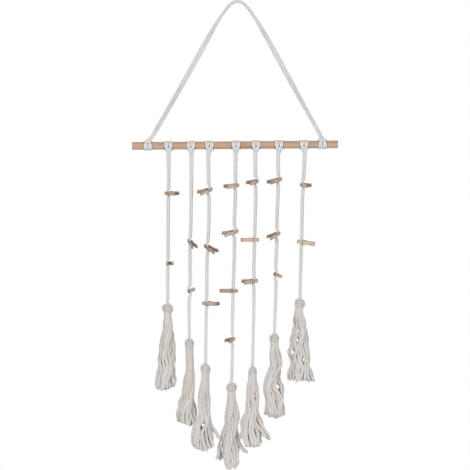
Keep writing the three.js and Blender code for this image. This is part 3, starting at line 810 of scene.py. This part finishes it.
def make_string(number, cotton):
    """Two cords, laid double and tied over the dowel, that hang as four down to the tassel's knot."""
    row = STRINGS[number - 1]
    clips = [clip for clip in CLIPS if clip["string"] == number]
    lean = STRING_LEANS[number - 1]
    front_right, front_left, back_left, back_right = string_strands(row, clips, lean)
    skin = Skin()
    for cord, left, right in ((INNER_CORD, front_left, front_right), (OUTER_CORD, back_left, back_right)):
        rise, fall = (half_knot(cord, hand, row["x"], 1, lean) for hand in (-1, 1))
        path = smooth_path(np.vstack([left[:0:-1], rise, fall[-2::-1], right[1:]]), CORD["step"])
        rings = hug(rope(path, phase=number), path, row["x"])
        for clip in clips:
            rings = press(rings, clip)
        skin.add(rings)
    name = f"string_{number}_cords"
    make_piece(name, skin.mesh(name), cotton, BODY, [f"string_{number}"])


# Tassels
def tassel_knot(x, foot, turn, hand, size, slant):
    """The cords of the knot that binds a tassel."""
    centre = np.array([x, 0.0, foot - KNOT["middle"]])
    for (level, share), (px, py) in zip(KNOT_LEVELS, ((1, -1), (-1, -1), (-1, 1), (1, 1))):
        points = [(px * offset, py * offset, z) for z, offset in KNOT_ABOVE]
        for row in KNOT_ROUTE:
            angle = math.radians(row["angle"] + turn)
            radius = row["radius"] * share * size
            z = row["rise"] + row["share"] * (level - slant * math.cos(angle))
            points.append((hand * radius * math.cos(angle), radius * math.sin(angle), z))
        points += [(px * offset, py * offset, z) for z, offset in KNOT_BELOW]
        yield smooth_path(np.array(points) + centre, CORD["step"])


def part_aside(t, across, gap):
    """How far a strand moves aside at a parting, along its length."""
    away = across - gap["across"]
    side = 1.0 if np.interp(gap["at"], t, away) > 0 else -1.0
    near = ((t - gap["at"]) / PARTING["length"]) ** 2 + (away / PARTING["reach"]) ** 2
    return side * gap["aside"] * np.exp(-near)


def strand_path(row, number, place, end, draw):
    """One loose strand: it keeps its place in the bundle while the skirt widens, sways and waves."""
    px, py = place
    x = row["x"] + row["drift"]
    trim = SKIRT["uneven"] * abs(math.sin(SKIRT["uneven_x"] * px + SKIRT["uneven_y"] * py + number))
    length = row["length"] - STRAND["root"] + row["slant"] * px - row["rise"] * px * px - trim
    t = np.linspace(0.0, 1.0, STRAND["stations"])
    stations = np.linspace(0.0, 1.0, len(row["widths"]))
    width = np.interp(t, stations, row["widths"])
    shift = np.interp(t, stations, row["shifts"])
    half = width / 2 - np.minimum(STRAND["full"], STRAND["thin"] * width / NECK["width"])
    turns = 2 * np.pi * t * length
    phase = turns / WAVE["length"] + WAVE["lag_x"] * px + WAVE["lag_y"] * py + number
    open_share = np.minimum(1.0, width / NECK["width"] - 1)
    wave = WAVE["width"] * open_share
    drift = turns / WANDER["length"] + WANDER["lag_x"] * px + WANDER["lag_y"] * py + draw["lag"]
    wander = WANDER["width"] * open_share * np.sin(drift)
    bend = np.maximum(0.0, (t - end["from"]) / (1 - end["from"])) ** 2
    curl = CURL["width"] * np.maximum(0.0, (t - CURL["from"]) / (1 - CURL["from"])) ** 2
    across = half * px + wave * np.sin(phase) + wander * draw["wander"] + curl * draw["curl"]
    for gap in PARTINGS:
        if gap["tassel"] == number:
            across = across + part_aside(t, across, gap)
    sway = WAVE["depth"] * wave * np.cos(phase) + wander * draw["curl"]
    skirt = np.stack([
        x + shift + across + end["out"] * bend,
        row["lean"] * t + SKIRT["depth"] * half * py + sway,
        row["foot"] - STRAND["root"] - length * t + end["lift"] * bend,
    ], axis=1)
    inner = half[0]
    neck = [
        (x + inner * px / 2, inner * py / 2, row["foot"] - NECK["top"]),
        (x + shift[0] / 2 + inner * px, SKIRT["depth"] * inner * py, row["foot"] - NECK["narrow"]),
    ]
    return smooth_path(np.vstack([neck, skirt]), STRAND["step"])


def loose_end(number, share):
    """How the outer strand at a share of the way round a tassel ends."""
    for end in LOOSE_ENDS:
        if end["tassel"] == number and abs(end["angle"] / 360 - share) < LOOSE["within"]:
            return end
    return HELD_END


def make_tassel(number, cotton):
    """An overhand knot in the string's cords, and the cords opened into loose strands below it."""
    row = STRINGS[number - 1]
    chance = np.random.default_rng(SEED + number)
    skin = Skin()
    for path in tassel_knot(row["x"] + row["drift"], row["foot"], *KNOT_STYLES[number - 1]):
        thick = np.interp(lengths_along(path), (0.0, KNOT["grows"]), KNOT["thick"])
        phase = chance.uniform(*KNOT_CHANCE["phase"])
        skin.add(rope(path, thick, phase), chance.uniform(*KNOT_CHANCE["tone"]))
    for circle in STRAND_CIRCLES:
        count = round(circle["count"] * max(row["widths"]) / SKIRT["usual"])
        for k in range(count):
            draw = {key: chance.uniform(*span) for key, span in STRAND_CHANCE.items()}
            angle = circle["turn"] + 2 * np.pi * (k + draw["angle"]) / count
            reach = circle["radius"] * draw["reach"]
            place = (reach * math.cos(angle), reach * math.sin(angle))
            end = loose_end(number, k / count) if circle is OUTER_CIRCLE else HELD_END
            path = strand_path(row, number, place, end, draw)
            t = np.linspace(0.0, 1.0, len(path))
            radius = np.interp(t, *STRAND_RADIUS) * (circle["thick"] * draw["thick"])
            if end is not HELD_END:
                radius *= LOOSE["thicker"]
            # Painted shade: the inner circles' warm tone stands for the shade between the strands
            tone = 1 - np.interp(t, *STRAND_WARMTH) * (1 - circle["tone"] - draw["tone"])
            turns = lengths_along(path) / STRAND["twist"]
            skin.add(tube(path, radius[:, None], STRAND["sides"], turns), tone[:, None])
    name = f"tassel_{number}_strands"
    make_piece(name, skin.mesh(name), cotton, BODY, [f"tassel_{number}"])


# Clip jaws
def jaw_inside(u):
    """The jaw's inner face above the middle of the gap, along the clip from its tip."""
    ramp_share = (NOTCH["ramp"] - np.abs(u - CLIP["cord_at"])) / (NOTCH["ramp"] - NOTCH["flat"])
    notch = CLIP["gap"] + NOTCH["depth"] * np.clip(ramp_share, 0.0, 1.0)
    seat = np.sqrt(np.maximum(0.0, SEAT**2 - (u - CLIP["pivot_at"]) ** 2))
    start = CLIP["pivot_at"] + SEAT
    handle = np.interp(u, (start, CLIP["length"]), (CLIP["gap"], HANDLE_GAP))
    return np.maximum(np.maximum(notch, seat), handle)


def jaw_outside(u):
    """The jaw's outer face, with the groove that the spring's arm lies in."""
    places = (0.0, JAW["crown_from"], JAW["back_from"], CLIP["length"])
    face = np.interp(u, places, (JAW["tip"], JAW["crown"], JAW["back"], JAW["end"]))
    near = np.clip(1 - ((u - WIRE["groove_at"]) / WIRE["groove"]) ** 2, 0.0, 1.0)
    return face - WIRE["sunk"] * WIRE["radius"] * np.sqrt(near)


def jaw_sections():
    """The places of a jaw's sections along it, closer together where its shape turns."""
    notch = [CLIP["cord_at"] + side * NOTCH[key] for side in (-1, 1) for key in ("flat", "ramp")]
    groove = WIRE["groove_at"] + WIRE["groove"] * np.cos(np.linspace(0.0, np.pi, JAW_SECTIONS["groove"]))
    seat = CLIP["pivot_at"] + SEAT * np.cos(np.linspace(0.0, np.pi, JAW_SECTIONS["seat"]))
    handle = np.linspace(*JAW_SECTIONS["handle"])
    end = CLIP["length"] - np.array(JAW_SECTIONS["end"])
    places = [JAW_SECTIONS["tip"], notch, groove, seat, [JAW["back_from"]], handle, end]
    return np.unique(np.round(np.concatenate(places), decimals=4))


def round_off(radius, to_end):
    """How far a round of some radius stands back, at distances from an end."""
    short = np.clip(radius - to_end, 0.0, radius)
    return radius - np.sqrt(radius**2 - short**2)


def jaw_mesh():
    """A jaw as sections along it: flat faces, rounded edges and rounded ends."""
    u = jaw_sections()
    to_end = np.minimum(u, CLIP["length"] - u)
    half = CLIP["width"] / 2 - JAW_ROUND["cut"] * round_off(JAW_ROUND["corner"], to_end)
    shrink = JAW_ROUND["edge"] / JAW_ROUND["thin"] * round_off(JAW_ROUND["thin"], to_end)
    low = jaw_inside(u) + shrink
    high = jaw_outside(u) - shrink
    soft = np.minimum(JAW_ROUND["edge"], JAW_ROUND["most"] * (high - low))
    rings = []
    for corner in range(4):
        for turn in np.linspace(0.0, np.pi / 2, JAW_ROUND["points"]):
            angle = turn + corner * np.pi / 2
            v = np.where(corner in (0, 3), high - soft, low + soft) + soft * math.cos(angle)
            w = (half - soft) * (1 if corner < 2 else -1) + soft * math.sin(angle)
            rings.append(np.stack([u - CLIP["cord_at"], v, w], axis=1))
    # Painted shade on the inner corners, which face the gap between the jaws, and darker wood near the
    # ends
    edges = np.repeat(JAW_SHADE_AND_ENDS["edges"], JAW_ROUND["points"])[None, :]
    ends = np.interp(to_end, JAW_SHADE_AND_ENDS["reach"], JAW_SHADE_AND_ENDS["ends"])[:, None]
    skin = Skin()
    skin.add(np.stack(rings, axis=1), edges * ends)
    mesh = skin.mesh("clip_jaw")
    mesh.set_sharp_from_angle(angle=math.radians(JAW_SHARP))
    return mesh


# Clip springs
def arm_points():
    """A spring's arm: from the coil along the side of a jaw, then across its outer face in the groove."""
    pivot = CLIP["pivot_at"] - CLIP["cord_at"]
    groove = WIRE["groove_at"] - CLIP["cord_at"]
    face = JAW["crown"] - ARM["sunk"] * WIRE["radius"]
    beside = CLIP["width"] / 2 + ARM["beside"] * WIRE["radius"]
    points = [(pivot + ARM["leaves"], COIL["radius"], COIL["reach"])]
    points += [(pivot + u, COIL["radius"] + out, beside - inward) for u, out, inward in ARM_AT_COIL]
    points += [(groove + u, face - under, beside - inward) for u, under, inward in ARM_AT_GROOVE]
    points += [(groove, face, 0.0), (groove, face, ARM["short"] - CLIP["width"] / 2)]
    return np.array(points)


def coil_points():
    """The coil about the clip's pivot, from one side of the clip to the other."""
    steps = np.linspace(0.0, 1.0, COIL["steps"] + 1)
    angles = np.pi / 2 + 2 * np.pi * COIL["turns"] * steps
    pivot = CLIP["pivot_at"] - CLIP["cord_at"]
    return np.stack([
        pivot + COIL["radius"] * np.cos(angles),
        COIL["radius"] * np.sin(angles),
        COIL["reach"] * (1 - 2 * steps),
    ], axis=1)


def spring_meshes():
    """The wire that stays with the back jaw and the arm that moves with the front jaw."""
    front_arm = smooth_path(arm_points(), WIRE["step"])
    back_arm = front_arm * [1.0, -1.0, -1.0]
    fixed = Skin()
    moving = Skin()
    fixed.add(tube(even_steps(coil_points(), WIRE["step"]), WIRE["radius"], WIRE["sides"]))
    fixed.add(tube(back_arm, WIRE["radius"], WIRE["sides"]))
    moving.add(tube(front_arm, WIRE["radius"], WIRE["sides"]))
    return fixed.mesh("clip_spring"), moving.mesh("clip_arm")


def make_clips(wood, steel):
    """Two jaws and a spring for each clip, all from the same three shapes."""
    jaw = jaw_mesh()
    spring, arm = spring_meshes()
    chance = np.random.default_rng(SEED)
    half_turn = Matrix.Rotation(math.pi, 4, "X")
    for number, clip in enumerate(CLIPS, 1):
        axes = np.stack(clip_axes(clip), axis=1)
        place = Matrix.Translation(Vector(cord_point(clip)) * MM) @ Matrix(axes.tolist()).to_4x4()
        label = f"clip_{number:02d}"
        moving = f"jaw_{number:02d}"
        turned = place @ half_turn
        back = make_piece(f"{label}_back_jaw", jaw, wood, BODY, [f"{label}_back"], turned)
        front = make_piece(f"{label}_front_jaw", jaw, wood, moving, [f"{label}_front"], place)
        back["tone"] = clip["pale"] + chance.uniform(*BACK_CHANCE)
        front["tone"] = clip["pale"] + chance.uniform(*FRONT_CHANCE)
        make_piece(f"{label}_spring", spring, steel, BODY, matrix=place)
        make_piece(f"{label}_arm", arm, steel, moving, matrix=place)


# Studio
def aim(thing, place):
    """Puts a lamp or camera at a place, in millimetres, looking at the middle of the view."""
    target = Vector((VIEW["x"], 0.0, VIEW["z"]))
    thing.location = Vector(place) * MM
    thing.rotation_euler = (target - Vector(place)).to_track_quat("-Z", "Y").to_euler()


def add_lamp(name, place, size, power, colour):
    lamp = bpy.data.lights.new(name, "AREA")
    lamp.shape = "DISK"
    lamp.size = size * MM
    lamp.energy = power
    lamp.color = colour
    aim(add_object(name, lamp), place)


def make_world():
    """White behind the object as the camera sees it, and a softer grey round about."""
    world = bpy.data.worlds.new("studio")
    bpy.context.scene.world = world
    world.use_nodes = True
    nodes = world.node_tree.nodes
    links = world.node_tree.links
    place = nodes.new("ShaderNodeTexCoord")
    parts = nodes.new("ShaderNodeSeparateXYZ")
    shade = nodes.new("ShaderNodeValToRGB")
    links.new(place.outputs["Generated"], parts.inputs["Vector"])
    links.new(parts.outputs["Y"], shade.inputs["Fac"])
    links.new(shade.outputs["Color"], nodes["Background"].inputs["Color"])
    for stop, (position, grey) in zip(shade.color_ramp.elements, WALLS):
        stop.position = position
        stop.color = (grey, grey, grey, 1.0)
    nodes["Background"].inputs["Strength"].default_value = 1.0


def make_floor():
    """A pale floor under the object."""
    half = FLOOR["half"] * MM
    height = FLOOR["z"] * MM
    corners = [(-half, -half, height), (half, -half, height), (half, half, height), (-half, half, height)]
    mesh = bpy.data.meshes.new("floor")
    mesh.from_pydata(corners, [], [(0, 1, 2, 3)])
    material, shader = new_material("pale_floor", FLOOR["colour"], FLOOR["roughness"])
    mottle, _ = streaks(material, "Object", **FLOOR_MOTTLE)
    link(material, ramp(material, mottle.outputs["Fac"], FLOOR_TINT), shader.inputs["Base Color"])
    mesh.materials.append(material)
    floor = add_object("floor", mesh)


def make_camera():
    """A camera straight in front, with the photograph's frame."""
    camera = bpy.data.cameras.new("camera")
    camera.sensor_width = VIEW["sensor"]
    camera.lens = VIEW["sensor"] * VIEW["distance"] / VIEW["span"]
    thing = add_object("camera", camera)
    aim(thing, (VIEW["x"], -VIEW["distance"], VIEW["z"]))
    bpy.context.scene.camera = thing


dowel_wood, clip_wood = [make_wood(**wood) for wood in WOODS]
cord_cotton, strand_cotton = [make_cotton(**cotton) for cotton in COTTONS]
spring_steel = make_steel()

make_dowel(dowel_wood)
make_hanger(cord_cotton)
for string_number in range(1, len(STRINGS) + 1):
    make_string(string_number, cord_cotton)
    make_tassel(string_number, strand_cotton)
make_clips(clip_wood, spring_steel)

make_world()
for lamp_row in LAMPS:
    add_lamp(**lamp_row)
make_floor()
make_camera()
bpy.context.scene.view_settings.view_transform = "Standard"
